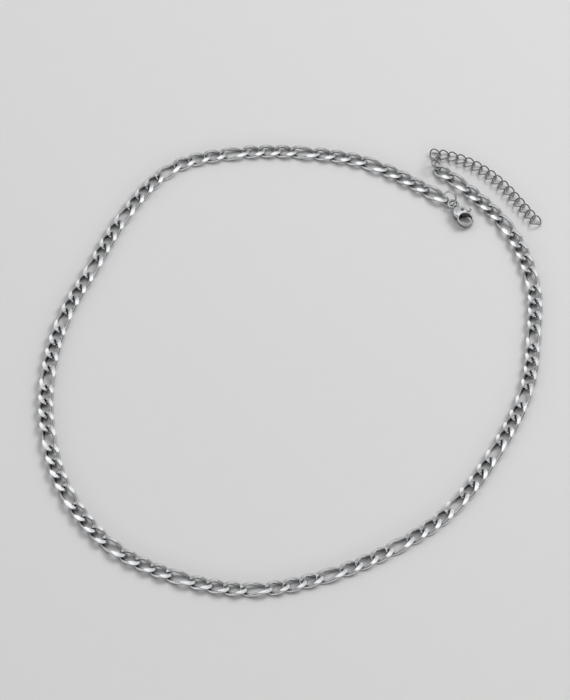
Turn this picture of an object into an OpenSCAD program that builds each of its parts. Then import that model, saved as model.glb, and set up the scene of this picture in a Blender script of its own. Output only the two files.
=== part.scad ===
// Figaro curb chain necklace, laid flat and unfastened: three short links and one long link
// by turns, a lobster clasp at one end and a fine extender chain at the other.
// Millimetres, +Z up. The origin is on the resting surface, under the middle of the whole piece.

/* [Chain] */
// Thickness of the wire that the links are bent from
wire = 1.06; // [1.0:0.01:1.08]
// Width of a link across the chain
link_w = 4.2; // [4.1:0.05:4.4]
// Length of a short link
short_l = 6.75; // [6.7:0.05:7.0]
// Length of a long link
long_l = 8.7; // [8.5:0.05:9.0]
// Thickness of the chain after its top and bottom are filed flat
chain_t = 1.65; // [1.5:0.05:1.8]
// Free play where two links hook into each other
play = 0.15; // [0.12:0.01:0.16]
// Angle that each end of a link is twisted by
twist = 45; // [42:1:48]

/* [Clasp] */
// Thickness of the clasp
clasp_t = 2.3; // [2.2:0.1:2.6]
// Distance from the eye's centre to the middle of the hook's opening
hook_x = 6.4; // [6.2:0.1:6.8]
// Radius of the hook's round opening
hook_r = 1.7; // [1.6:0.05:1.8]
// Thickness of the hook's wall
hook_wall = 0.62; // [0.55:0.01:0.65]
// Thickness of the lever plate that swings between the two cheeks
lever_t = 1.0; // [0.9:0.05:1.1]
// Radius of the rivet that the lever turns on
rivet_r = 0.35; // [0.3:0.01:0.4]

/* [Rings] */
// Thickness of the clasp ring's wire
clasp_ring_wire = 0.54; // [0.5:0.01:0.56]
// Radius of the clasp ring to the middle of its wire
clasp_ring_r = 2; // [1.98:0.01:2.02]
// Thickness of the extender's wire
fine_wire = 0.4; // [0.36:0.01:0.4]
// Length of an extender link
fine_l = 3.5; // [3.48:0.01:3.52]
// Width of an extender link
fine_w = 3.4; // [3.3:0.02:3.44]
// Distance from one extender link to the next
fine_pitch = 2.5; // [2.48:0.01:2.52]

/* [Hidden] */

steel = [0.80, 0.80, 0.81];
bright_steel = [0.86, 0.86, 0.87];
fine_steel = [0.70, 0.70, 0.71];

links = 90;
// One long link comes after each group of short ones
group = 4;
half = links / 2;

// Facets of a link: stations along its loop, and sides of its wire
loop_n = 12;
wire_n = 6;
// Fullness of the ovals: 1 is an ellipse, less is squarer
short_oval = 0.76;
long_oval = 0.65;
fine_oval = 0.9;

// The line that the chain lies along, from the clasp to the extender
// [x, y]
route = [
  [42.9, 55.4],
  [22.5, 68.5],
  [4, 73],
  [-15.5, 73],
  [-34, 67.5],
  [-46.5, 51],
  [-55, 32],
  [-62.5, 14],
  [-66, -6],
  [-65, -24.5],
  [-59.5, -43],
  [-47.5, -59.5],
  [-30.5, -69],
  [-11.5, -73],
  [7.5, -69],
  [25, -60.5],
  [40.5, -48.5],
  [52, -31.5],
  [61.5, -11],
  [64.5, 8.5],
  [65, 27],
  [59, 46],
  [46.5, 61.5],
  [39.2, 67.7],
];
// Steps of the smooth curve between two points of the route
route_steps = 12;

// Heading of the extender chain, in degrees, by the number of the link
// [link, heading]
fine_bends = [[0, -9], [1, -10], [2, -17], [3, -23], [5, -34], [8, -47], [11, -57], [14, -57], [17, -47]];
fine_links = 17;
fine_loop_n = 12;
fine_wire_n = 5;

// Ring at the chain's far end: middle, lean and turn, seen from the last link's centre
end_ring_at = [3.203, -0.677, 1.411];
end_ring_lean = 38.9;
end_ring_turn = -137.2;
end_ring_r = 1.65;
end_ring_wire = 0.5;
// First extender link stands tipped in that ring, and the second one lies level beside it
first_fine_at = [4.874, -2.537, 1.673];
first_fine_tip = 68.4;
first_fine_turn = -44.7;
second_fine_at = [5.964, -4.233];

// Clasp ring: middle, lean and turn, seen from the first link's centre towards the clasp
clasp_ring_at = [4.273, 0.315, 1.704];
clasp_ring_lean = -45.2;
clasp_ring_turn = 80.8;
// Clasp's eye and heading in the same frame
clasp_at = [5.99, -0.43];
clasp_turn = -26;

// Clasp body
eye_r = 1.25;
eye_wire = 0.76;
eye_rise = 0.12;
bulb_at = [3.6, 0];
bulb_r = 2.05;
dome_at = 3.9;
dome_r = 7;
dome_rise = 0.06;
hook_h = 1.9;
hook_y = 0.1;
hook_from = 114;
nose_angle = 44;
gate_from = 20;
gate_to = 111;
gate_h = 1.5;
gate_reach = 4.35;
// Rivet's place and the gaps round the lever
pivot = [3.6, 0.8];
lever_gap = 0.06;
bore_gap = 0.03;
boss_r = 0.8;
knob_at = [4.0, 3.0];
knob_r = 0.5;
knob_neck = 0.7;
slot_back = 2.5;
slot_side = -0.6;

clasp_mid = clasp_t / 2;
hook_at = [hook_x, hook_y];
hook_out = hook_r + hook_wall;

// The chain along its route

// Point of a smooth curve through b and c, with a before and d after them
function curve(a, b, c, d, t) =
  (2 * b + (c - a) * t + (2 * a - 5 * b + 4 * c - d) * t * t
   + (3 * b - a - 3 * c + d) * t * t * t) / 2;

last = len(route) - 1;
guide = concat([2 * route[0] - route[1]], route, [2 * route[last] - route[last - 1]]);
plain_run = concat(
  [for (i = [0 : last - 1], k = [0 : route_steps - 1])
    curve(guide[i], guide[i + 1], guide[i + 2], guide[i + 3], k / route_steps)],
  [route[last]]);
// Length along the curve up to each of its points
plain_way = [for (i = 0, s = 0; i < len(plain_run);
                  s = s + (i + 1 < len(plain_run) ? norm(plain_run[i + 1] - plain_run[i]) : 0),
                  i = i + 1) s];

// Links up to number i: how many are long, and where link i starts
function is_long(i) = i % group == 0;
function link_l(i) = is_long(i) ? long_l : short_l;
function link_start(i) =
  let (longs = ceil(i / group))
  longs * long_l + (i - longs) * short_l - i * (2 * wire + play);
function link_mid(i) = link_start(i) + link_l(i) / 2;
chain_len = link_start(links - 1) + link_l(links - 1);

// The loop is scaled so that the chain fills it from end to end
fit = chain_len / plain_way[len(plain_way) - 1];
way_x = [for (i = [0 : len(plain_run) - 1]) [plain_way[i] * fit, plain_run[i][0] * fit]];
way_y = [for (i = [0 : len(plain_run) - 1]) [plain_way[i] * fit, plain_run[i][1] * fit]];
function at(s) = [lookup(s, way_x), lookup(s, way_y)];

// Middle and heading of link i: its two hooked ends lie on the route
function link_back(i) = at(link_mid(i) - link_l(i) / 2 + wire);
function link_front(i) = at(link_mid(i) + link_l(i) / 2 - wire);
function link_at(i) = (link_back(i) + link_front(i)) / 2;
function heading(v) = atan2(v[1], v[0]);
function link_turn(i) = heading(link_front(i) - link_back(i));

// A wire along a closed loop, as a mesh

function keep(z, top) = max(-top, min(top, z));
function unit(v) = v / norm(v);
function full(c, p) = sign(c) * pow(abs(c), p);

// Wire's middle at angle t of a twisted oval, half_l long and half_w wide each way
function loop_point(t, half_l, half_w, p) =
  let (x = half_l * full(cos(t), p), y = half_w * full(sin(t), p), turn = -twist * x / half_l)
  [x, y * cos(turn), y * sin(turn)];

// Points of one link about its own middle: l long and b wide, of wire d with m sides,
// and filed level at the height top above and below its middle
function link_mesh(l, b, d, p, top, n, m) =
  let (half_l = (l - d) / 2, half_w = (b - d) / 2, step = 360 / n)
  [for (i = [0 : n - 1])
    let (c = loop_point(i * step, half_l, half_w, p),
         ahead = loop_point((i + 0.5) * step, half_l, half_w, p),
         behind = loop_point((i - 0.5) * step, half_l, half_w, p),
         turn = -twist * c[0] / half_l,
         side = unit(cross(unit(ahead - behind), [0, -sin(turn), cos(turn)])),
         up = cross(side, unit(ahead - behind)))
    for (k = [0 : m - 1])
      let (q = c + d / 2 * (side * cos(360 * k / m) + up * sin(360 * k / m)))
      [q[0], q[1], keep(q[2], top)]];

// Faces of a closed loop of n stations with m sides, from point number first on
function loop_faces(n, m, first) =
  [for (i = [0 : n - 1], k = [0 : m - 1])
    let (a = first + i * m + k, b = first + i * m + (k + 1) % m,
         c = first + ((i + 1) % n) * m + (k + 1) % m, d = first + ((i + 1) % n) * m + k)
    each [[a, b, c], [a, c, d]]];

function turned(q, a) = [q[0] * cos(a) - q[1] * sin(a), q[0] * sin(a) + q[1] * cos(a), q[2]];
function leaned(q, a) = [q[0], q[1] * cos(a) - q[2] * sin(a), q[1] * sin(a) + q[2] * cos(a)];

short_link = link_mesh(short_l, link_w, wire, short_oval, chain_t / 2, loop_n, wire_n);
long_link = link_mesh(long_l, link_w, wire, long_oval, chain_t / 2, loop_n, wire_n);
fine_link = link_mesh(fine_l, fine_w, fine_wire, fine_oval, fine_w, fine_loop_n, fine_wire_n);

// Links from number a up to number b, each a loose solid hooked into the next
module chain_run(a, b) {
  points = [for (i = [a : b])
    let (mid = link_at(i), turn = link_turn(i), up = chain_t / 2)
    for (q = is_long(i) ? long_link : short_link)
      turned(q, turn) + [mid[0], mid[1], up]];
  faces = [for (i = [0 : b - a]) each loop_faces(loop_n, wire_n, i * loop_n * wire_n)];
  polyhedron(points = points, faces = faces, convexity = 10);
}

module chain_clasp_half() {
  color(steel) chain_run(0, half - 1);
}

module chain_extender_half() {
  color(steel) chain_run(half, links - 1);
}

// Rings

module round_ring(r, w) {
  rotate_extrude($fn = 48)
    translate([r, 0])
      circle(d = w, $fn = 24);
}

// Places its children in the first link's frame, with +X towards the clasp
module from_first_link() {
  translate([link_at(0)[0], link_at(0)[1], 0])
    rotate(link_turn(0) + 180)
      children();
}

// Places its children in the last link's frame, with +X away from the chain
module from_last_link() {
  translate([link_at(links - 1)[0], link_at(links - 1)[1], 0])
    rotate(link_turn(links - 1))
      children();
}

module clasp_jump_ring() {
  color(bright_steel)
    from_first_link()
      translate(clasp_ring_at)
        rotate([0, clasp_ring_lean, clasp_ring_turn])
          round_ring(clasp_ring_r, clasp_ring_wire);
}

module extender_jump_ring() {
  color(fine_steel)
    from_last_link()
      translate(end_ring_at)
        rotate([0, end_ring_lean, end_ring_turn])
          round_ring(end_ring_r, end_ring_wire);
}

// Extender chain: open twisted links of thin wire

function by_last_link(p) =
  let (turn = link_turn(links - 1), q = turned([p[0], p[1], 0], turn))
  link_at(links - 1) + [q[0], q[1]];
function step(i) = fine_pitch * [cos(lookup(i, fine_bends)), sin(lookup(i, fine_bends))];
fine_start = by_last_link(second_fine_at);
fine_path = concat([by_last_link(first_fine_at)],
  [for (i = 1, p = fine_start; i < fine_links; p = p + step(i), i = i + 1) p]);
function fine_turn(i) =
  i == 0 ? link_turn(links - 1) + first_fine_turn
         : (lookup(i - 1, fine_bends) + lookup(i, fine_bends)) / 2;
// Height of a link's middle when it lies on the surface
fine_low = max([for (q = fine_link) -q[2]]);

module extender_chain() {
  points = [for (i = [0 : fine_links - 1])
    let (mid = fine_path[i], up = i == 0 ? first_fine_at[2] : fine_low, tip = i == 0 ? first_fine_tip : 0)
    for (q = fine_link)
      turned(leaned(q, tip), fine_turn(i)) + [mid[0], mid[1], up]];
  faces = [for (i = [0 : fine_links - 1])
    each loop_faces(fine_loop_n, fine_wire_n, i * fine_loop_n * fine_wire_n)];
  color(fine_steel) polyhedron(points = points, faces = faces, convexity = 10);
}

// Clasp, in its own frame: eye at the origin, +X towards the nose, the lever on the +Y side

module clasp_frame() {
  from_first_link()
    translate([clasp_at[0], clasp_at[1], 0])
      rotate(clasp_turn)
        children();
}

// Wall of the hook's ring with rounded edges, h high, between two angles
module hook_ring(wall, h, from, to) {
  round_r = wall / 2;
  translate([hook_at[0], hook_at[1], clasp_mid])
    rotate(from)
      rotate_extrude(angle = to - from, $fn = 64)
        translate([hook_r + wall / 2, 0]) {
          translate([-wall / 2, -h / 2 + round_r]) square([wall, h - wall]);
          translate([0, h / 2 - round_r]) circle(r = round_r, $fn = 24);
          translate([0, -h / 2 + round_r]) circle(r = round_r, $fn = 24);
        }
}

// Outline of the body from the eye to the hook
module body_outline() {
  translate(bulb_at) circle(r = bulb_r, $fn = 64);
  polygon([[eye_r - 0.1, -0.62], [bulb_at[0] - 1.4, -1.5], [bulb_at[0] - 1.4, 1.5], [eye_r - 0.1, 0.62]]);
}

// Slab with a low dome on both faces, cut flat in the middle of each
module domed_slab() {
  lift = dome_r - clasp_mid - dome_rise;
  intersection() {
    translate([dome_at, 0, clasp_mid - lift]) sphere(r = dome_r, $fn = 96);
    translate([dome_at, 0, clasp_mid + lift]) sphere(r = dome_r, $fn = 96);
    linear_extrude(clasp_t) body_outline();
  }
}

module clasp_solid() {
  translate([0, 0, clasp_mid + eye_rise]) round_ring(eye_r, eye_wire);
  domed_slab();
  hook_ring(hook_wall, hook_h, hook_from, 360 + nose_angle);
}

module clasp_body() {
  color(bright_steel)
    clasp_frame()
      difference() {
        clasp_solid();
        // Round opening of the hook
        translate([hook_at[0], hook_at[1], -1]) cylinder(r = hook_r, h = clasp_t + 2, $fn = 64);
        // Slot between the cheeks, open to the lever's side
        translate([slot_back, slot_side, clasp_mid - lever_t / 2 - lever_gap])
          cube([hook_x - slot_back, 5, lever_t + 2 * lever_gap]);
        // Room in the nose for the gate's tip, which swings about the rivet
        intersection() {
          translate([pivot[0], pivot[1], -1])
            cylinder(r = gate_reach + lever_gap, h = clasp_t + 2, $fn = 96);
          translate([hook_x, hook_y + 0.3, -1]) cube([4, 4, clasp_t + 2]);
        }
        // Rivet's hole
        translate([pivot[0], pivot[1], -1])
          cylinder(r = rivet_r + bore_gap, h = clasp_t + 2, $fn = 32);
      }
}

// Flat plate of the lever: boss, web and the neck of the thumb knob
module lever_plate() {
  difference() {
    union() {
      translate(pivot) circle(r = boss_r, $fn = 32);
      intersection() {
        polygon([[3.4, 0.15], [5.4, 0.15], [6.1, 2.6], [3.4, 2.6], [3.0, 1.4]]);
        union() {
          translate(bulb_at) circle(r = bulb_r - 0.1, $fn = 64);
          translate(hook_at) circle(r = hook_out - 0.1, $fn = 64);
        }
      }
      translate([knob_at[0] - knob_neck / 2, 1]) square([knob_neck, knob_at[1] - 1]);
    }
    translate(pivot) circle(r = rivet_r + bore_gap, $fn = 32);
    translate(hook_at) circle(r = hook_r + 0.02, $fn = 64);
  }
}

module clasp_lever() {
  color(steel)
    clasp_frame() {
      translate([0, 0, clasp_mid - lever_t / 2]) linear_extrude(lever_t) lever_plate();
      translate([knob_at[0], knob_at[1], clasp_mid]) sphere(r = knob_r, $fn = 48);
      intersection() {
        hook_ring(hook_wall - 0.04, gate_h, gate_from, gate_to);
        translate([pivot[0], pivot[1], 0]) cylinder(r = gate_reach, h = clasp_t, $fn = 96);
      }
    }
}

module clasp_rivet() {
  color(fine_steel)
    clasp_frame()
      translate([pivot[0], pivot[1], 0.04])
        cylinder(r = rivet_r, h = clasp_t - 0.06, $fn = 32);
}

chain_clasp_half();
chain_extender_half();
clasp_jump_ring();
clasp_body();
clasp_lever();
clasp_rivet();
extender_jump_ring();
extender_chain();
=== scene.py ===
"""Figaro curb chain laid flat and open, with its clasp and extender, in polished stainless steel.

Everything is in metres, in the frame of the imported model. Tables in millimetres say so.
"""

import math

import bpy
import numpy as np
from bpy.props import FloatProperty, FloatVectorProperty, IntProperty, PointerProperty
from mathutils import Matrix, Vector


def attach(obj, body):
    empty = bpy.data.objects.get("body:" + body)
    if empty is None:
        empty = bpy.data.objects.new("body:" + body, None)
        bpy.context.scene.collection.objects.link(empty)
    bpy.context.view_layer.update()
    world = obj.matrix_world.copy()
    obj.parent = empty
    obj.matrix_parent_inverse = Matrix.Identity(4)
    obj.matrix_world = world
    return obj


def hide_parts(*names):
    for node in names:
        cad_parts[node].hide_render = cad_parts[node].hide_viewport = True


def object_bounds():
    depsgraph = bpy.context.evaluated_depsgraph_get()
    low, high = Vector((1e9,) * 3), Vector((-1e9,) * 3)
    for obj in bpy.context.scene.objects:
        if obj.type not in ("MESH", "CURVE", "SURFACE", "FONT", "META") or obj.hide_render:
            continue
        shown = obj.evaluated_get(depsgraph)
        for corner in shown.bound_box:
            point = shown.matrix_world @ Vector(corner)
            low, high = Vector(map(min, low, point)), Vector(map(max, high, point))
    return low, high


bl_info = {
    "name": "Figaro curb chain",
    "version": (1, 0, 0),
    "blender": (4, 5, 0),
    "location": "3D View > Sidebar > Curb chain",
    "description": "Links, rings and clasp of a flat figaro curb chain, "
                   "with floor, lights and camera",
    "category": "Add Mesh",
}

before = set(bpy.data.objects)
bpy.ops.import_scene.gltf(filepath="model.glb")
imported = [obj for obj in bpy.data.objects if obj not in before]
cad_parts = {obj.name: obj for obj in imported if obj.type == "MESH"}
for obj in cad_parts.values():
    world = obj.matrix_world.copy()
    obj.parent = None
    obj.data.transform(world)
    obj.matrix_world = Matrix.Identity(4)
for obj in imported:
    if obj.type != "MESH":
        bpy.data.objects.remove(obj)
CAD_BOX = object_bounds()

MM = 0.001
LINKS = 90
# Every fourth link is a long one, from the first on
GROUP = 4
FINE_LINKS = 17
# Edges that turn by more degrees than this stay crisp
CREASE = 32

# Points of the line that the chain lies along, from the clasp to the extender, in mm
# x, y
ROUTE = np.array([
    [42.9, 55.4], [22.5, 68.5], [4, 73], [-15.5, 73], [-34, 67.5], [-46.5, 51],
    [-55, 32], [-62.5, 14], [-66, -6], [-65, -24.5], [-59.5, -43], [-47.5, -59.5],
    [-30.5, -69], [-11.5, -73], [7.5, -69], [25, -60.5], [40.5, -48.5], [52, -31.5],
    [61.5, -11], [64.5, 8.5], [65, 27], [59, 46], [46.5, 61.5], [39.2, 67.7]]) * MM

# Heading of the extender chain, in degrees
# link, heading
FINE_BENDS = np.array([
    [0, -9], [1, -10], [2, -17], [3, -23], [5, -34], [8, -47], [11, -57], [14, -57], [17, -47]])

# Middles of the extender's first two links in mm, in the frame of the chain's last link. The
# first is turned from that link's heading, and tipped up through the end ring, in degrees
FINE_START = np.array([[4.874, -2.537, 1.673], [5.964, -4.233, 0]])
FINE_TURN, FINE_TIP = -44.7, 68.4

# Each end ring in the frame of the link that it hangs from, with x out of the chain's end:
# lean and turn in degrees, and middle in mm
CLASP_RING = (-45.2, 80.8, (4.273, 0.315, 1.704))
END_RING = (38.9, -137.2, (3.203, -0.677, 1.411))

# The clasp has its own frame in mm, with x from the middle of its eye to the hook, y to the
# thumb's side and z up. Here is where that frame sits in the first link's, its turn in degrees
CLASP_TURN, CLASP_SPOT = -26, np.array([5.99, -0.43, 0])

# Eye: radius to its wire's middle, wire, and rise over the clasp's middle
EYE_RADIUS, EYE_WIRE, EYE_RISE = 1.25, 0.76, 0.12

# Bulb from the neck to the hook's root
# x, half width, half height
BULB = np.array([
    [0.75, 0.3, 0.3], [1.15, 0.5, 0.5], [1.6, 0.72, 0.84], [2.15, 1.22, 1.05],
    [2.9, 1.82, 1.12], [3.8, 2.03, 1.15], [4.6, 1.86, 1.1], [5.2, 1.5, 0.98],
    [5.7, 1.0, 0.8]])

# Middle and radius of the round opening. Round it go the fixed hook and the lever's gate
# wall, height, first and last angle, degrees of taper
OPENING, OPENING_RADIUS = (6.4, 0.1), 1.7
HOOK_BAR = (0.62, 1.9, 114, 404, 16)
GATE_BAR = (0.58, 1.5, 111, 19, 1)

# The lever turns on the pivot. Its tip reaches this far from it, and stays clear by the gap
PIVOT, LEVER_REACH, LEVER_GAP = (3.6, 0.8), 4.35, 0.06
BORE_RADIUS, BOSS_RADIUS = 0.38, 0.8
RIVET_RADIUS, RIVET_LOW, RIVET_HIGH = 0.35, 0.04, 2.28

# Thumb knob, and the half width and both ends of the stem under it
KNOB, KNOB_RADIUS = (4.0, 3.0), 0.5
STEM_HALF, STEM_ENDS = 0.35, np.array([[1.0], [2.85]])

# Plan of the slot that the lever moves in, and from and to what height a cut goes right through
SLOT_PLAN = np.array([[2.5, -0.6], [6.4, -0.6], [6.4, 4.4], [2.5, 4.4]])
THROUGH = (-1, 4)

# Skins drawn round the body and the lever before and after their cuts
# grid, rounds of smoothing
BODY_SKINS = ((0.05, 8), (0.045, 4))
LEVER_SKINS = ((0.035, 5), (0.035, 2))

# Walls that get painted shade: those of the opening, of the eye's hole and of the rivet's bore
# x, y, radius
HOLLOWS = ((*OPENING, 1.72), (0, 0, 0.92), (*PIVOT, 0.42))

# The key light casts the soft shadows and is kept out of the steel, as a polariser does. The
# others are the softboxes that the near, left and right facets show
# name, azimuth, elevation, distance m, width m, height m, watts, seen in steel
LIGHTS = (
    ("key", 36, 38, 1.5, 0.8, 0.6, 15.5, False),
    ("high", 87, 70, 1.2, 0.9, 0.5, 0.96, True),
    ("left", 120, 50, 1.2, 0.62, 0.5, 0.54, True),
    ("right", 69, 50, 1.2, 0.44, 0.44, 0.28, True))

# Brightness of the studio's two walls
# sine of the angle above the horizon, brightness
FRONT_WALL = ((0.0, 0.05), (0.14, 0.08), (0.2, 2.2), (0.36, 2.2), (0.44, 0.15), (1.0, 0.25))
REAR_WALL = ((0.0, 0.12), (0.06, 0.15), (0.14, 0.72), (0.6, 0.76), (0.84, 0.8), (0.92, 0.75),
             (1.0, 0.45))

# Share of its light that steel keeps where hands smear it, and under its painted shade
SMEARED, PAINTED_SHADE_SHARE = 0.82, 0.4
# The floor's half width and depth under the chain, and the share of light in its mottle
FLOOR_HALF, FLOOR_DROP, MOTTLED = 1.5, 2e-5, 0.985
VIEW_MIDDLE = (-0.0025, 0.0045, 0)


def length_prop(name, mm, text):
    """Length in metres, from a default in mm."""
    return FloatProperty(name=name, description=text, default=mm * MM, unit="LENGTH", precision=5)


def angle_prop(name, degrees, text):
    """Angle in radians, from a default in degrees."""
    return FloatProperty(name=name, description=text, default=math.radians(degrees),
                         unit="ROTATION")


def tone_prop(name, code, text):
    """sRGB colour, from its hex code."""
    value = tuple(int(code[k:k + 2], 16) / 255 for k in (0, 2, 4))
    return FloatVectorProperty(name=name, description=text, default=value,
                               subtype="COLOR_GAMMA", size=3, min=0, max=1)


def roundness_prop(name, value):
    """Power of an oval's sines and cosines."""
    return FloatProperty(name=name, description="1 is an ellipse, less is squarer",
                         default=value, min=0.5, max=1)


class CurbLinkSizes(bpy.types.PropertyGroup):
    """Sizes of the chain's links"""
    wire: length_prop("Wire", 1.06, "Thickness of the links' wire")
    width: length_prop("Width", 4.2, "Width of a link across the chain")
    short_length: length_prop("Short link", 6.75, "Length of a short link")
    long_length: length_prop("Long link", 8.7, "Length of a long link")
    thickness: length_prop("Thickness", 1.65, "Thickness of the chain after filing")
    play: length_prop("Play", 0.15, "Free play where two links hook into each other")
    twist: angle_prop("Twist", 45, "Twist of each end of a link")
    short_fullness: roundness_prop("Short link's roundness", 0.76)
    long_fullness: roundness_prop("Long link's roundness", 0.65)
    crown: FloatProperty(name="Crown", default=0.11, min=0, max=0.2,
                         description="How much the facets fall off towards the chain's sides")
    stations: IntProperty(name="Stations", default=72, description="Steps along a link's loop")


class CurbRingSizes(bpy.types.PropertyGroup):
    """Sizes of the end rings and the extender's links"""
    clasp_wire: length_prop("Clasp ring's wire", 0.54, "Thickness of the clasp ring's wire")
    clasp_radius: length_prop("Clasp ring", 2.0, "Radius of the clasp ring to its wire's middle")
    end_wire: length_prop("End ring's wire", 0.5, "Thickness of the far end ring's wire")
    end_radius: length_prop("End ring", 1.65, "Radius of the far end ring to its wire's middle")
    fine_wire: length_prop("Extender's wire", 0.4, "Thickness of the extender's wire")
    fine_length: length_prop("Extender link", 3.5, "Length of an extender link")
    fine_width: length_prop("Extender's width", 3.4, "Width of an extender link")
    fine_pitch: length_prop("Extender's pitch", 2.5, "From one extender link to the next")
    fine_fullness: roundness_prop("Extender link's roundness", 0.9)


class CurbClaspSizes(bpy.types.PropertyGroup):
    """Sizes of the clasp"""
    thickness: length_prop("Clasp", 2.3, "Thickness of the clasp")
    lever: length_prop("Lever", 1.0, "Thickness of the lever between its cheeks")


class CurbTones(bpy.types.PropertyGroup):
    """Tones of the steel and the floor"""
    wire: tone_prop("Link wire", "D5D6D8", "Polished round of the links")
    facet: tone_prop("Filed facet", "E0E1E3", "Flat facets of the links")
    cast: tone_prop("Clasp", "C6C7C9", "Cast and polished clasp")
    fine: tone_prop("Fine wire", "AEAFB2", "Drawn wire of the extender")
    floor: tone_prop("Floor", "CCCCCC", "Matte card under the chain")


class CurbStage(bpy.types.PropertyGroup):
    """Place and lens of the camera"""
    elevation: angle_prop("Camera elevation", 53, "Camera's angle above the floor")
    distance: FloatProperty(name="Camera distance", default=0.983, unit="LENGTH",
                            description="From the camera to the middle of the view")
    focal: FloatProperty(name="Focal length", default=188.4,
                         description="In mm, on a 36 mm sensor")


def unit(v):
    """Each vector over its own length."""
    return v / np.linalg.norm(v, axis=-1, keepdims=True)


def turn_z(v, angle):
    """Points turned about the upright axis: (x cos - y sin, x sin + y cos, z)."""
    x, y, z = v[..., 0], v[..., 1], v[..., 2]
    c, s = np.cos(angle), np.sin(angle)
    return np.stack([x * c - y * s, x * s + y * c, z + 0 * c], axis=-1)


def lean_x(v, angle):
    """Points turned about the x axis: (x, y cos - z sin, y sin + z cos)."""
    x, y, z = v[..., 0], v[..., 1], v[..., 2]
    c, s = np.cos(angle), np.sin(angle)
    return np.stack([x + 0 * c, y * c - z * s, y * s + z * c], axis=-1)


def lean_y(v, angle):
    """Points turned about the y axis: (x cos + z sin, y, z cos - x sin)."""
    x, y, z = v[..., 0], v[..., 1], v[..., 2]
    c, s = np.cos(angle), np.sin(angle)
    return np.stack([x * c + z * s, y, z * c - x * s], axis=-1)


def in_frame(points, link, middle, heading, back):
    """Points from a link's own frame to the whole: turned to its heading, or right round from it
    for the chain's back end, and moved to its middle."""
    turn = heading[link] + (np.pi if back else 0)
    out = turn_z(points, turn)
    out[..., :2] += middle[link]
    return out


def smooth_route(points, steps):
    """Curve through the points: between b and c, with a before and d after them, it is half of
    2b + (c - a)t + (2a - 5b + 4c - d)t^2 + (3b - a - 3c + d)t^3."""
    p = np.vstack([2 * points[0] - points[1], points, 2 * points[-1] - points[-2]])
    a, b, c, d = (p[k:len(p) - 3 + k, None, :] for k in range(4))
    t = (np.arange(steps) / steps)[None, :, None]
    bend = (c - a) * t + (2 * a - 5 * b + 4 * c - d) * t ** 2 + (3 * b - a - 3 * c + d) * t ** 3
    return np.vstack([(b + bend / 2).reshape(-1, 2), points[-1:]])


def place_links(sizes):
    """Middle, heading and kind of every link: its two hooked ends lie on the route, and each link
    starts two wires and the play before the end of the one behind it."""
    number = np.arange(LINKS)
    is_long = number % GROUP == 0
    length = np.where(is_long, sizes.long_length, sizes.short_length)
    longs = -(-number // GROUP)
    start = (longs * sizes.long_length + (number - longs) * sizes.short_length
             - number * (2 * sizes.wire + sizes.play))
    run = smooth_route(ROUTE, 12)
    way = np.append(0, np.cumsum(np.linalg.norm(np.diff(run, axis=0), axis=1)))
    fit = (start[-1] + length[-1]) / way[-1]

    def at(s):
        """Point of the route, drawn to the chain's length, after this much of it."""
        return fit * np.stack([np.interp(s / fit, way, run[:, k]) for k in (0, 1)], axis=-1)

    middle, reach = start + length / 2, length / 2 - sizes.wire
    back, front = at(middle - reach), at(middle + reach)
    ahead = front - back
    return (back + front) / 2, np.arctan2(ahead[:, 1], ahead[:, 0]), is_long


def oval_line(half_l, half_w, fullness, stations):
    """Oval x = l |cos t|^p and y = w |sin t|^p, with their signs, in even steps of its length."""
    t = np.linspace(0, 2 * np.pi, 4001)
    c, s = np.cos(t), np.sin(t)
    x = half_l * np.sign(c) * np.abs(c) ** fullness
    y = half_w * np.sign(s) * np.abs(s) ** fullness
    way = np.append(0, np.cumsum(np.hypot(np.diff(x), np.diff(y))))
    even = np.linspace(0, way[-1], stations + 1)[:-1]
    return np.interp(even, way, x), np.interp(even, way, y)


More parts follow.
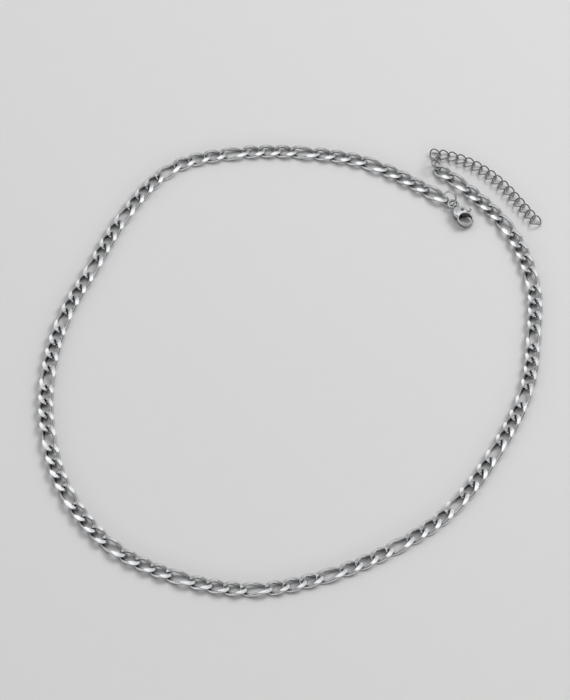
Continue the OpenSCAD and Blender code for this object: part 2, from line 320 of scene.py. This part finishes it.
def link_surface(length, width, wire, fullness, twist, thickness, stations,
                 chord=4, arc=6, crown=0):
    """One link about its own middle: its points (station, side, xyz), which faces are filed, and
    how much painted shade each point gets, from 0 to 1.
    The wire's middle goes round an oval that is turned about x by the twist times x over its half
    length. Round it goes a circle that is cut near the chain's top and bottom, at a height that
    falls from the middle outwards by the crown times (|y| - 0.15 w)^2 over w, the half width.
    The cut's two corners are points of the section, so that each facet has a clean edge. chord is
    the number of steps across a facet, arc that round the wire from one facet to the other."""
    half_l, half_w = (length - wire) / 2, (width - wire) / 2
    x, y = oval_line(half_l, half_w, fullness, stations)
    turn = -twist * x / half_l
    middle = np.stack([x, y * np.cos(turn), y * np.sin(turn)], axis=-1)

    along = unit(np.roll(middle, -1, axis=0) - np.roll(middle, 1, axis=0))
    high = unit(np.array([0, 0, 1.0]) - along[:, 2:] * along)
    across = np.cross(along, high)

    # Where no cut is made, corners stay the least angle from the top, so that no face closes up
    radius, level, flat, least = wire / 2, thickness / 2, 0.15 * half_w, 0.3

    def cut(side, up):
        """How far up its section a point at this side of the wire is cut, over the radius."""
        out = np.abs(middle[:, 1:2] + radius * side * across[:, 1:2]) - flat
        fall = crown * np.maximum(out, 0) ** 2 / half_w
        return (level - fall - up * middle[:, 2:]) / (radius * high[:, 2:])

    def corner(hand, up):
        """Angle from the section's top or bottom to the corner of its cut, in a few rounds."""
        a = np.full((stations, 1), 0.5)
        for _ in range(6):
            a = np.maximum(np.arccos(np.clip(cut(hand * np.sin(a), up), -1, 1)), least)
        return a

    a, b, c, d = corner(-1, 1), corner(1, 1), corner(1, -1), corner(-1, -1)
    k, n = np.arange(chord) / chord, np.arange(arc) / arc
    angle = np.hstack([-a + (a + b) * k, b + (np.pi - c - b) * n,
                       np.pi - c + (c + d) * k, np.pi + d + (np.pi - a - d) * n])
    side = np.sin(angle)
    rise = np.clip(np.cos(angle), -cut(side, -1), cut(side, 1))[..., None]
    points = middle[:, None] + radius * (rise * high[:, None] + side[..., None] * across[:, None])

    # A face is filed where both of its rings are cut
    cut_top, cut_low = ((cut(0, up) < math.cos(least))[:, 0] for up in (1, -1))
    filed = np.zeros(angle.shape, bool)
    filed[:, :chord] = (cut_top & np.roll(cut_top, -1))[:, None]
    filed[:, chord + arc:2 * chord + arc] = (cut_low & np.roll(cut_low, -1))[:, None]

    # Painted shade goes on the bends at both ends where the links hook into each other, on the
    # loop's inside, and on the wire's low flanks
    near_end = np.clip((np.abs(middle[:, :1]) / half_l - 0.5) / 0.35, 0, 1)
    bend = near_end * (0.75 - 0.25 * side)
    inside = np.clip(-1.6 * side - 0.8, 0, 0.7)
    flank = 0.8 * np.clip(1 - np.abs(np.cos(angle) + 0.45) / 0.35, 0, 1)
    return points, filed, np.maximum(bend, np.maximum(inside, flank))


def ring_surface(radius, wire, stations, sides):
    """Torus: at angle t round the ring and s round the wire, the point is
    ((r + w cos s) cos t, (r + w cos s) sin t, w sin s), with w half the wire."""
    t = (2 * np.pi * np.arange(stations) / stations)[:, None]
    s = (2 * np.pi * np.arange(sides) / sides)[None, :]
    out = radius + wire / 2 * np.cos(s)
    return np.stack([out * np.cos(t), out * np.sin(t), wire / 2 * np.sin(s) + 0 * t], axis=-1)


def loop_faces(count, stations, sides):
    """Quads of count closed tubes: each joins stations i and i + 1, and sides k and k + 1."""
    i, k = np.meshgrid(np.arange(stations), np.arange(sides), indexing="ij")
    j, m = (i + 1) % stations, (k + 1) % sides
    one = np.stack([i * sides + k, j * sides + k, j * sides + m, i * sides + m], axis=-1)
    starts = np.arange(count) * stations * sides
    return (one.reshape(-1, 4)[None] + starts[:, None, None]).reshape(-1, 4)


def put_object(name, mesh):
    """Puts a mesh into the scene as an object at the origin."""
    obj = bpy.data.objects.new(name, mesh)
    bpy.context.scene.collection.objects.link(obj)
    return obj


def put_mesh(name, points, faces, materials, second=None):
    """Makes a mesh object of quads; second marks the faces with the second material."""
    mesh = bpy.data.meshes.new(name)
    mesh.vertices.add(len(points))
    mesh.vertices.foreach_set("co", np.ascontiguousarray(points, np.float32).ravel())
    mesh.loops.add(faces.size)
    mesh.loops.foreach_set("vertex_index", np.ascontiguousarray(faces, np.int32).ravel())
    mesh.polygons.add(len(faces))
    mesh.polygons.foreach_set("loop_start", np.arange(0, faces.size, 4, dtype=np.int32))
    for material in materials:
        mesh.materials.append(material)
    if second is not None:
        marks = np.ascontiguousarray(second, np.int32).ravel()
        mesh.polygons.foreach_set("material_index", marks)
    mesh.update(calc_edges=True)
    mesh.polygons.foreach_set("use_smooth", np.ones(len(faces), bool))
    mesh.set_sharp_from_angle(angle=math.radians(CREASE))
    if mesh.validate():
        raise ValueError(f"{name} has faces that don't close")
    return put_object(name, mesh)


def put_tubes(name, grids, materials, filed=None, painted_shade=None):
    """Makes a mesh object of closed tubes, from an array (tube, station, side, xyz), held in the
    model's box, which a smooth round would pass by a hundredth of a millimetre. Where its faces
    point inwards, they are turned round."""
    points = np.clip(grids.reshape(-1, 3), *CAD_BOX)
    faces = loop_faces(*grids.shape[:3])
    p = [points[faces[:, q]] for q in range(4)]
    volume = sum(np.einsum("ij,ij->", p[0], np.cross(p[q], p[q + 1])) for q in (1, 2))
    if volume < 0:
        faces = faces[:, ::-1]
    obj = put_mesh(name, points, faces, materials, filed)
    # Painted shade per point, which the steel's material reads to darken recesses and undersides
    if painted_shade is not None:
        shade = obj.data.attributes.new("painted_shade", "FLOAT", "POINT")
        shade.data.foreach_set("value", np.ascontiguousarray(painted_shade, np.float32).ravel())
    return obj


def finish(obj, body, slot, *nodes):
    """Says which body carries the piece and what it replaces. Its slot is not used."""
    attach(obj, body)
    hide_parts(*nodes)


def linear(colour):
    """sRGB to linear: c / 12.92 up to 0.04045, and ((c + 0.055) / 1.055)^2.4 above it."""
    c = np.asarray(colour[:3], float)
    return (*np.where(c <= 0.04045, c / 12.92, ((c + 0.055) / 1.055) ** 2.4), 1.0)


def dimmed(tone, share):
    """A linear tone with this share of its light."""
    return (*(share * c for c in tone[:3]), 1.0)


def add_node(tree, kind, values=None, links=None, **settings):
    """Adds a node with its settings, its inputs' values and the sockets linked to its inputs."""
    node = tree.nodes.new(kind)
    for key, value in settings.items():
        setattr(node, key, value)
    for key, value in (values or {}).items():
        node.inputs[key].default_value = value
    for key, socket in (links or {}).items():
        tree.links.new(socket, node.inputs[key])
    return node


def steel(name, tone, dull, gloss, smear_mm, grain_mm, grain_depth_mm):
    """Polished stainless steel. Broad smears from handling shift its roughness between gloss and
    dull and darken it a little, a grain left by the polish breaks its reflections, and painted
    shade darkens the recesses, creases and low flanks that the mesh's shade attribute marks. The
    grit of a polish is finer than 0.01 mm, too fine to show, so the grain is drawn coarser, at
    the size given."""
    found = bpy.data.materials.get(name)
    if found:
        return found
    material = bpy.data.materials.new(name)
    material.use_nodes = True
    tree = material.node_tree
    tree.nodes.clear()
    place = add_node(tree, "ShaderNodeTexCoord").outputs["Object"]
    smear = add_node(tree, "ShaderNodeTexNoise",
                     {"Scale": 1 / (smear_mm * MM), "Detail": 3.0, "Roughness": 0.55},
                     {"Vector": place})
    grain = add_node(tree, "ShaderNodeTexNoise",
                     {"Scale": 1 / (grain_mm * MM), "Detail": 2.0, "Roughness": 0.6},
                     {"Vector": place})
    rough = add_node(tree, "ShaderNodeMapRange",
                     {"From Min": 0.3, "From Max": 0.7, "To Min": gloss, "To Max": dull},
                     {"Value": smear.outputs["Fac"]})
    clean = linear(tone)
    handled = add_node(tree, "ShaderNodeMix", {"A": clean, "B": dimmed(clean, SMEARED)},
                       {"Factor": smear.outputs["Fac"]}, data_type="RGBA")
    # Painted shade: where the mesh's attribute marks it, the steel keeps only a share of its
    # light
    painted_shade_node = add_node(tree, "ShaderNodeAttribute", attribute_name="painted_shade")
    shade = add_node(tree, "ShaderNodeMix", {"B": dimmed(clean, PAINTED_SHADE_SHARE)},
                     {"Factor": painted_shade_node.outputs["Fac"], "A": handled.outputs["Result"]},
                     data_type="RGBA")
    relief = add_node(tree, "ShaderNodeBump",
                      {"Strength": 1.0, "Distance": grain_depth_mm * MM},
                      {"Height": grain.outputs["Fac"]})
    metal = add_node(tree, "ShaderNodeBsdfPrincipled", {"Metallic": 1.0},
                     {"Base Color": shade.outputs["Result"], "Roughness": rough.outputs["Result"],
                      "Normal": relief.outputs["Normal"]})
    add_node(tree, "ShaderNodeOutputMaterial", links={"Surface": metal.outputs["BSDF"]})
    return material


def link_wire(tones):
    """Round wire after tumble polishing: bright, with soft wavy reflections."""
    return steel("polished stainless steel wire", tones.wire, 0.16, 0.08, 2.4, 0.12, 0.001)


def link_facet(tones):
    """Facet filed level and buffed: almost a mirror, with the faintest grain of all."""
    return steel("stainless steel filed and buffed", tones.facet, 0.16, 0.08, 1.8, 0.05, 0.0003)


def clasp_cast(tones):
    """Cast steel after barrel polishing: a soft shine with a faint orange peel."""
    return steel("cast stainless steel polished", tones.cast, 0.2, 0.1, 1.6, 0.3, 0.003)


def fine_drawn(tones):
    """Thin drawn wire, left as it comes from the die: greyer and less bright."""
    return steel("drawn stainless steel wire", tones.fine, 0.3, 0.2, 1.2, 0.08, 0.001)


def floor_card(tones):
    """Matte white card: an even pale grey, with the faintest mottle in patches of 6 mm."""
    material = bpy.data.materials.new("matte white card")
    material.use_nodes = True
    tree = material.node_tree
    tree.nodes.clear()
    place = add_node(tree, "ShaderNodeTexCoord").outputs["Object"]
    mottle = add_node(tree, "ShaderNodeTexNoise", {"Scale": 1 / (6 * MM), "Detail": 2.0},
                      {"Vector": place})
    tone = linear(tones.floor)
    shade = add_node(tree, "ShaderNodeMix", data_type="RGBA",
                     links={"Factor": mottle.outputs["Fac"]})
    shade.inputs["A"].default_value = tone
    shade.inputs["B"].default_value = dimmed(tone, MOTTLED)
    card = add_node(tree, "ShaderNodeBsdfPrincipled", {"Roughness": 0.85},
                    {"Base Color": shade.outputs["Result"]})
    add_node(tree, "ShaderNodeOutputMaterial", links={"Surface": card.outputs["BSDF"]})
    return material


class CURB_OT_links(bpy.types.Operator):
    """Build both halves of the chain, link by link"""
    bl_idname = "curb.links"
    bl_label = "Links"

    def execute(self, context):
        sizes, tones = context.scene.curb_links, context.scene.curb_tones
        middle, heading, is_long = place_links(sizes)
        kinds = [link_surface(length, sizes.width, sizes.wire, fullness, sizes.twist,
                              sizes.thickness, sizes.stations, crown=sizes.crown)
                 for length, fullness in ((sizes.short_length, sizes.short_fullness),
                                          (sizes.long_length, sizes.long_fullness))]
        for name, first, end in (("clasp_half", 0, LINKS // 2),
                                 ("extender_half", LINKS // 2, LINKS)):
            kind = is_long[first:end].astype(int)
            # Each kind gives its points, its filed faces and its painted shade
            grids, filed, painted_shade = (np.stack([k[q] for k in kinds])[kind] for q in range(3))
            grids = turn_z(grids, heading[first:end, None, None])
            grids[..., :2] += middle[first:end, None, None]
            grids[..., 2] += sizes.thickness / 2
            obj = put_tubes(f"links_{name}", grids, [link_wire(tones), link_facet(tones)],
                            filed, painted_shade)
            finish(obj, "necklace", "polished_steel", f"chain_{name}")
        return {"FINISHED"}


class CURB_OT_rings(bpy.types.Operator):
    """Build the ring at each end of the chain"""
    bl_idname = "curb.rings"
    bl_label = "End rings"

    def execute(self, context):
        scene = context.scene
        rings, tones = scene.curb_rings, scene.curb_tones
        middle, heading, _ = place_links(scene.curb_links)

        def hung(ring, pose, link, back):
            """A ring about its own middle, hung from its link."""
            lean, turn, spot = pose
            ring = turn_z(lean_y(ring, math.radians(lean)), math.radians(turn))
            return in_frame(ring + np.array(spot) * MM, link, middle, heading, back)[None]

        ring = ring_surface(rings.clasp_radius, rings.clasp_wire, stations=96, sides=24)
        finish(put_tubes("clasp_ring", hung(ring, CLASP_RING, 0, True), [clasp_cast(tones)]),
               "necklace", "bright_steel", "clasp_jump_ring")
        ring = ring_surface(rings.end_radius, rings.end_wire, stations=96, sides=20)
        finish(put_tubes("end_ring", hung(ring, END_RING, LINKS - 1, False), [fine_drawn(tones)]),
               "necklace", "fine_steel", "extender_jump_ring")
        return {"FINISHED"}


class CURB_OT_extender(bpy.types.Operator):
    """Build the open twisted links of the extender chain"""
    bl_idname = "curb.extender"
    bl_label = "Extender chain"

    def execute(self, context):
        scene = context.scene
        sizes, rings, tones = scene.curb_links, scene.curb_rings, scene.curb_tones
        middle, heading, _ = place_links(sizes)
        first, second = (in_frame(spot * MM, LINKS - 1, middle, heading, False)
                         for spot in FINE_START)
        link, _, painted_shade = link_surface(rings.fine_length, rings.fine_width, rings.fine_wire,
                                       rings.fine_fullness, sizes.twist, rings.fine_width,
                                       stations=60, chord=2, arc=4)
        number = np.arange(FINE_LINKS)
        course = np.radians(np.interp(number, FINE_BENDS[:, 0], FINE_BENDS[:, 1]))
        step = rings.fine_pitch * np.stack([np.cos(course), np.sin(course), 0 * course], axis=-1)
        rest = second + np.vstack([np.zeros(3), np.cumsum(step[1:-1], axis=0)])
        rest[:, 2] = -link[..., 2].min()
        at = np.vstack([first, rest])
        turn = np.append(heading[-1] + math.radians(FINE_TURN), (course[:-1] + course[1:]) / 2)
        tip = np.where(number == 0, math.radians(FINE_TIP), 0)
        grids = turn_z(lean_x(link[None], tip[:, None, None]), turn[:, None, None])
        grids += at[:, None, None]
        # Painted shade, at seven tenths of its strength on the chain's links
        painted_shade = 0.7 * np.broadcast_to(painted_shade, (FINE_LINKS, *painted_shade.shape))
        finish(put_tubes("extender_links", grids, [fine_drawn(tones)], painted_shade=painted_shade),
               "necklace", "fine_steel", "extender_chain")
        return {"FINISHED"}


def lofted(rings):
    """Closed shell through a row of closed sections (section, point, xyz), capped at its ends."""
    count, sides = rings.shape[:2]
    i, k = np.meshgrid(np.arange(count - 1), np.arange(sides), indexing="ij")
    m, j = (k + 1) % sides, i + 1
    quads = np.stack([i * sides + k, i * sides + m, j * sides + m, j * sides + k], axis=-1)
    ends = [np.arange(sides)[::-1], (count - 1) * sides + np.arange(sides)]
    return rings.reshape(-1, 3), [*quads.reshape(-1, 4).tolist(), *(end.tolist() for end in ends)]


def rounded(half_w, half_h, power, sides):
    """Section of a rounded bar: y = w |cos s|^(2/n) and z = h |sin s|^(2/n), with their signs."""
    s = 2 * np.pi * np.arange(sides) / sides
    c, n = np.cos(s), np.sin(s)
    return (half_w[:, None] * np.sign(c) * np.abs(c) ** (2 / power),
            half_h[:, None] * np.sign(n) * np.abs(n) ** (2 / power))


def bulb_shell(height):
    """Body from its neck to the hook: a rounded bar along x whose half width and half height
    follow a smooth curve through the bulb's table."""
    wide = smooth_route(BULB[:, :2], 8)
    tall = smooth_route(BULB[:, [0, 2]], 8)
    y, z = rounded(wide[:, 1], tall[:, 1], power=6.0, sides=64)
    return lofted(np.stack([wide[:, :1] + 0 * y, y, z + height], axis=-1))


def curved_bar(wall, high, start, stop, taper, height):
    """Rounded bar carried round the opening: the distance from its middle is the opening's radius
    plus the section's width, and the section is drawn in over the taper's last degrees like the
    root of what is left of them."""
    t = np.radians(np.linspace(start, stop, 121))
    left = np.clip(np.abs(t[-1] - t) / math.radians(taper), 0.02, 1) ** 0.5
    y, z = rounded(wall / 2 * left, high / 2 * (0.35 + 0.65 * left), power=2.6, sides=40)
    out = OPENING_RADIUS + wall / 2 + y
    return lofted(np.stack([OPENING[0] + out * np.cos(t)[:, None],
                            OPENING[1] + out * np.sin(t)[:, None], height + z], axis=-1))


def upright_bar(outline, low, high):
    """Straight bar along z with the outline's points (x, y)."""
    return lofted(np.stack([np.column_stack([outline, 0 * outline[:, 0] + z])
                            for z in (low, high)]))


def circle_line(centre, radius, sides):
    """Points of a circle, with no point twice."""
    s = 2 * np.pi * np.arange(sides) / sides
    return np.stack([centre[0] + radius * np.cos(s), centre[1] + radius * np.sin(s)], axis=-1)


def arc_line(centre, radius, start, stop, count):
    """Points of an arc from one angle to another, in degrees."""
    t = np.radians(np.linspace(start, stop, count))
    return np.stack([centre[0] + radius * np.cos(t), centre[1] + radius * np.sin(t)], axis=-1)


def lever_outline():
    """Outline of the lever's plate: round the opening, out to the hook's rim, back along the rim
    and the body's round side, and down behind the rivet."""
    return np.vstack([[[3.4, 0.15]], arc_line(OPENING, 1.72, 178.3, 108.6, 24),
                      arc_line(OPENING, 2.22, 100.1, 138.2, 14),
                      arc_line((3.6, 0), 1.95, 54.1, 102.8, 18), [[3.0, 1.4]]])


def sweep_outline():
    """Outline of what the gate's tip passes over: within the lever's reach and its gap of the
    pivot, and beyond the opening's middle."""
    sweep = arc_line(PIVOT, LEVER_REACH + LEVER_GAP, -70, 70, 61)
    x, low, high = OPENING[0], 0.4, 4.4
    return np.vstack([sweep[(sweep[:, 0] > x) & (sweep[:, 1] > low)], [[x, high], [x, low]]])


def ball(radius, sides):
    """Sections of a ball from pole to pole: r cos v round the axis, at the height r sin v."""
    v = np.linspace(-np.pi / 2 + 0.02, np.pi / 2 - 0.02, sides // 2)[:, None]
    t = (2 * np.pi * np.arange(sides) / sides)[None, :]
    return radius * np.stack([np.cos(v) * np.cos(t), np.cos(v) * np.sin(t), np.sin(v) + 0 * t],
                             axis=-1)


def rivet_surface(radius, low, high, sides):
    """Rivet: a pin turned about z, whose radius closes at both ends along a shallow dome,
    r = R (1 - u^14) and at least R / 20, with u running from -1 to 1 over the pin's length."""
    u = np.sin(np.linspace(-np.pi / 2, np.pi / 2, 25))[:, None]
    s = (2 * np.pi * np.arange(sides) / sides)[None, :]
    r = radius * np.maximum(1 - u ** 14, 0.05)
    z = (low + high) / 2 + (high - low) / 2 * u
    return np.stack([r * np.cos(s), r * np.sin(s), z + 0 * s], axis=-1)


def solid_of(name, *shells):
    """Object of closed shells (points, faces)."""
    points = np.vstack([shell[0] for shell in shells])
    starts = np.cumsum([0] + [len(shell[0]) for shell in shells])
    faces = [[start + q for q in face] for start, shell in zip(starts, shells)
             for face in shell[1]]
    mesh = bpy.data.meshes.new(name)
    mesh.from_pydata(points.tolist(), [], faces)
    return put_object(name, mesh)


def worked(obj, *modifiers):
    """Adds modifiers (kind, settings) to the object and works them into its mesh."""
    for kind, settings in modifiers:
        modifier = obj.modifiers.new(kind, kind)
        for key, value in settings.items():
            setattr(modifier, key, value)
    bpy.context.view_layer.update()
    final = obj.evaluated_get(bpy.context.evaluated_depsgraph_get())
    mesh = bpy.data.meshes.new_from_object(final)
    obj.modifiers.clear()
    old, obj.data = obj.data, mesh
    bpy.data.meshes.remove(old)
    if not mesh.polygons:
        raise ValueError(f"{obj.name} came out empty")
    return obj


def carved(obj, cuts, skins):
    """Draws one skin round all of the object's shells, makes the cuts (name, shell, operation),
    and draws the skin anew, which closes the slivers that the cuts leave."""
    def skin(grid, rounds):
        """Modifiers that draw the skin and smooth it."""
        return (("REMESH", {"mode": "VOXEL", "voxel_size": grid}),
                ("SMOOTH", {"factor": 0.5, "iterations": rounds}))

    tools = [solid_of(name, shell) for name, shell, _ in cuts]
    worked(obj, *skin(*skins[0]),
           *(("BOOLEAN", {"object": tool, "operation": operation, "solver": "EXACT"})
             for tool, (_, _, operation) in zip(tools, cuts)))
    for tool in tools:
        mesh = tool.data
        bpy.data.objects.remove(tool)
        bpy.data.meshes.remove(mesh)
    return worked(obj, *skin(*skins[1]))


def cast_body(high, slot):
    """Eye, bulb and hook in one, with the round opening, the lever's slot, the room that the
    gate's tip needs and the rivet's bore cut out. high is the clasp's middle, slot half of the
    lever's thickness, both in mm."""
    steps = 72, 28
    eye = ring_surface(EYE_RADIUS, EYE_WIRE, *steps) + np.array([0, 0, high + EYE_RISE])
    body = solid_of("clasp_cast_body", (eye.reshape(-1, 3), loop_faces(1, *steps).tolist()),
                    bulb_shell(high), curved_bar(*HOOK_BAR, high))
    room = slot + LEVER_GAP
    cuts = [(name, upright_bar(outline, low, top), "DIFFERENCE") for name, outline, low, top in (
        ("opening", circle_line(OPENING, OPENING_RADIUS, 96), *THROUGH),
        ("slot", SLOT_PLAN, high - room, high + room),
        ("tip", sweep_outline(), *THROUGH),
        ("bore", circle_line(PIVOT, BORE_RADIUS, 48), *THROUGH))]
    return carved(body, cuts, BODY_SKINS)


def thumb_lever(high, slot):
    """Boss round the rivet, plate, stem, knob and gate in one, bored for the rivet and trimmed to
    the lever's reach. high is the clasp's middle, slot half of the lever's thickness, in mm."""
    y, z = rounded(np.full(2, STEM_HALF), np.full(2, slot), power=5.0, sides=48)
    lever = solid_of(
        "clasp_thumb_lever",
        upright_bar(circle_line(PIVOT, BOSS_RADIUS, 64), high - slot, high + slot),
        upright_bar(lever_outline(), high - slot, high + slot),
        lofted(np.stack([KNOB[0] - y, STEM_ENDS + 0 * y, high + z], axis=-1)),
        lofted(ball(KNOB_RADIUS, 40) + np.array([*KNOB, high])),
        curved_bar(*GATE_BAR, high))
    cuts = [("bore", upright_bar(circle_line(PIVOT, BORE_RADIUS, 48), *THROUGH), "DIFFERENCE"),
            ("reach", upright_bar(circle_line(PIVOT, LEVER_REACH, 128), *THROUGH), "INTERSECT")]
    return carved(lever, cuts, LEVER_SKINS)


def settle(obj, place, material, hollows):
    """Takes a piece from its working frame in mm to its place, smooth shaded, in its material and
    held in the model's box.
    Round each hollow (x, y, radius) its wall gets painted shade: fully inside the radius, and
    less and less up to 0.22 mm beyond it. So do the flanks, as painted contact shade, more and
    more from
    1.8 mm over the floor down to 0.8 mm, where nine tenths is reached."""
    mesh = obj.data
    points = np.empty(len(mesh.vertices) * 3, np.float32)
    mesh.vertices.foreach_get("co", points)
    points = points.reshape(-1, 3).astype(float)
    painted_shade = 0.9 * np.clip(1.8 - points[:, 2], 0, 1)
    for x, y, radius in hollows:
        beyond = np.hypot(points[:, 0] - x, points[:, 1] - y) - radius
        painted_shade = np.maximum(painted_shade, np.clip(1 - beyond / 0.22, 0, 1))
    placed = np.clip(place(points), *CAD_BOX)
    mesh.vertices.foreach_set("co", placed.astype(np.float32).ravel())
    shade = mesh.attributes.new("painted_shade", "FLOAT", "POINT")
    shade.data.foreach_set("value", painted_shade.astype(np.float32))
    mesh.polygons.foreach_set("use_smooth", np.ones(len(mesh.polygons), bool))
    mesh.materials.clear()
    mesh.materials.append(material)
    mesh.update()
    return obj


class CURB_OT_clasp(bpy.types.Operator):
    """Build the lobster clasp: cast body, thumb lever and rivet"""
    bl_idname = "curb.clasp"
    bl_label = "Clasp"

    def execute(self, context):
        scene = context.scene
        clasp, tones = scene.curb_clasp, scene.curb_tones
        middle, heading, _ = place_links(scene.curb_links)
        high, slot = clasp.thickness / 2 / MM, clasp.lever / 2 / MM

        def place(points):
            """Points from the clasp's frame in mm to the whole."""
            points = turn_z(points, math.radians(CLASP_TURN)) + CLASP_SPOT
            return in_frame(points * MM, 0, middle, heading, True)

        cast = clasp_cast(tones)
        body = settle(cast_body(high, slot), place, cast, HOLLOWS)
        finish(body, "necklace", "bright_steel", "clasp_body")
        # Of the hollows the lever lines the opening alone
        lever = settle(thumb_lever(high, slot), place, cast, HOLLOWS[:1])
        finish(lever, "lever", "bright_steel", "clasp_lever")

        rivet = rivet_surface(RIVET_RADIUS, RIVET_LOW, RIVET_HIGH, 40) + np.array([*PIVOT, 0])
        pin = solid_of("clasp_rivet_pin", lofted(place(rivet)))
        pin.data.materials.append(fine_drawn(tones))
        pin.data.polygons.foreach_set("use_smooth", np.ones(len(pin.data.polygons), bool))
        finish(pin, "necklace", "fine_steel", "clasp_rivet")
        return {"FINISHED"}


def studio_world():
    """Soft room light. In front stands a narrow bright band low down, as of a window wall, with
    dark under it and dim over it. Behind the piece an even pale wall rises, dark at its foot and
    dimmer overhead. The two blend into each other at the sides."""
    world = bpy.data.worlds.new("studio")
    world.use_nodes = True
    tree = world.node_tree
    tree.nodes.clear()
    place = add_node(tree, "ShaderNodeTexCoord").outputs["Generated"]
    part = add_node(tree, "ShaderNodeSeparateXYZ", links={"Vector": place})
    front = add_node(tree, "ShaderNodeValToRGB", links={"Fac": part.outputs["Z"]})
    rear = add_node(tree, "ShaderNodeValToRGB", links={"Fac": part.outputs["Z"]})
    for ramp, stops in ((front, FRONT_WALL), (rear, REAR_WALL)):
        # A new ramp has two marks of its own
        marks = ramp.color_ramp.elements
        for number, (height, light) in enumerate(stops):
            mark = marks[number] if number < 2 else marks.new(height)
            mark.position, mark.color = height, (light, light, light, 1)
    side = add_node(tree, "ShaderNodeMapRange", {"From Min": -0.4, "From Max": 0.25},
                    {"Value": part.outputs["Y"]}, interpolation_type="SMOOTHSTEP")
    light = add_node(tree, "ShaderNodeMix", data_type="RGBA",
                     links={"Factor": side.outputs["Result"], "A": front.outputs["Color"],
                            "B": rear.outputs["Color"]})
    glow = add_node(tree, "ShaderNodeBackground", {"Strength": 1.0},
                    {"Color": light.outputs["Result"]})
    add_node(tree, "ShaderNodeOutputWorld", links={"Surface": glow.outputs["Background"]})
    return world


def put_aimed(name, data, spot, aim):
    """Puts a light or a camera at a spot and turns it to look at the aim."""
    obj = put_object(name, data)
    obj.location = spot
    obj.rotation_euler = (aim - spot).to_track_quat("-Z", "Y").to_euler()
    return obj


class CURB_OT_stage(bpy.types.Operator):
    """Lay the floor and set the lights and the camera"""
    bl_idname = "curb.stage"
    bl_label = "Stage"

    def execute(self, context):
        scene, stage = context.scene, context.scene.curb_stage
        corners = np.array([[x * FLOOR_HALF, y * FLOOR_HALF, -FLOOR_DROP]
                            for x, y in ((-1, -1), (1, -1), (1, 1), (-1, 1))])
        floor = put_mesh("floor", corners, np.array([[0, 1, 2, 3]]),
                         [floor_card(scene.curb_tones)])

        scene.world = studio_world()
        scene.view_settings.view_transform = "Standard"

        for name, azimuth, height, far, wide, tall, watts, seen in LIGHTS:
            light = bpy.data.lights.new(name, "AREA")
            light.shape, light.size, light.size_y, light.energy = "RECTANGLE", wide, tall, watts
            a, e = math.radians(azimuth), math.radians(height)
            spot = far * Vector((math.cos(a) * math.cos(e), math.sin(a) * math.cos(e),
                                 math.sin(e)))
            put_aimed(name, light, spot, Vector((0, 0, 0))).visible_glossy = seen

        data = bpy.data.cameras.new("camera")
        data.sensor_width, data.lens = 36, stage.focal
        data.clip_start, data.clip_end = 0.01, 10
        aim = Vector(VIEW_MIDDLE)
        away = Vector((0, -math.cos(stage.elevation), math.sin(stage.elevation)))
        scene.camera = put_aimed("camera", data, aim + stage.distance * away, aim)
        return {"FINISHED"}


STEPS = (CURB_OT_links, CURB_OT_rings, CURB_OT_extender, CURB_OT_clasp, CURB_OT_stage)
GROUPS = {"curb_links": CurbLinkSizes, "curb_rings": CurbRingSizes, "curb_clasp": CurbClaspSizes,
          "curb_tones": CurbTones, "curb_stage": CurbStage}


class CURB_PT_panel(bpy.types.Panel):
    """Sizes, tones and steps of the curb chain"""
    bl_label = "Curb chain"
    bl_idname = "CURB_PT_panel"
    bl_space_type = "VIEW_3D"
    bl_region_type = "UI"
    bl_category = "Curb chain"

    def draw(self, context):
        for attribute, group in GROUPS.items():
            box = self.layout.box()
            for name in group.__annotations__:
                box.prop(getattr(context.scene, attribute), name)
        for step in STEPS:
            self.layout.operator(step.bl_idname)


def register():
    """Registers the classes and hangs each group of properties on the scene."""
    for cls in (*GROUPS.values(), *STEPS, CURB_PT_panel):
        bpy.utils.register_class(cls)
    for attribute, group in GROUPS.items():
        setattr(bpy.types.Scene, attribute, PointerProperty(type=group))


def unregister():
    """Undoes what register does."""
    for attribute in GROUPS:
        delattr(bpy.types.Scene, attribute)
    for cls in reversed((*GROUPS.values(), *STEPS, CURB_PT_panel)):
        bpy.utils.unregister_class(cls)


def main():
    """Registers the add-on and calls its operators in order."""
    register()
    for step in STEPS:
        group, name = step.bl_idname.split(".")
        getattr(getattr(bpy.ops, group), name)()


if __name__ == "__main__":
    main()
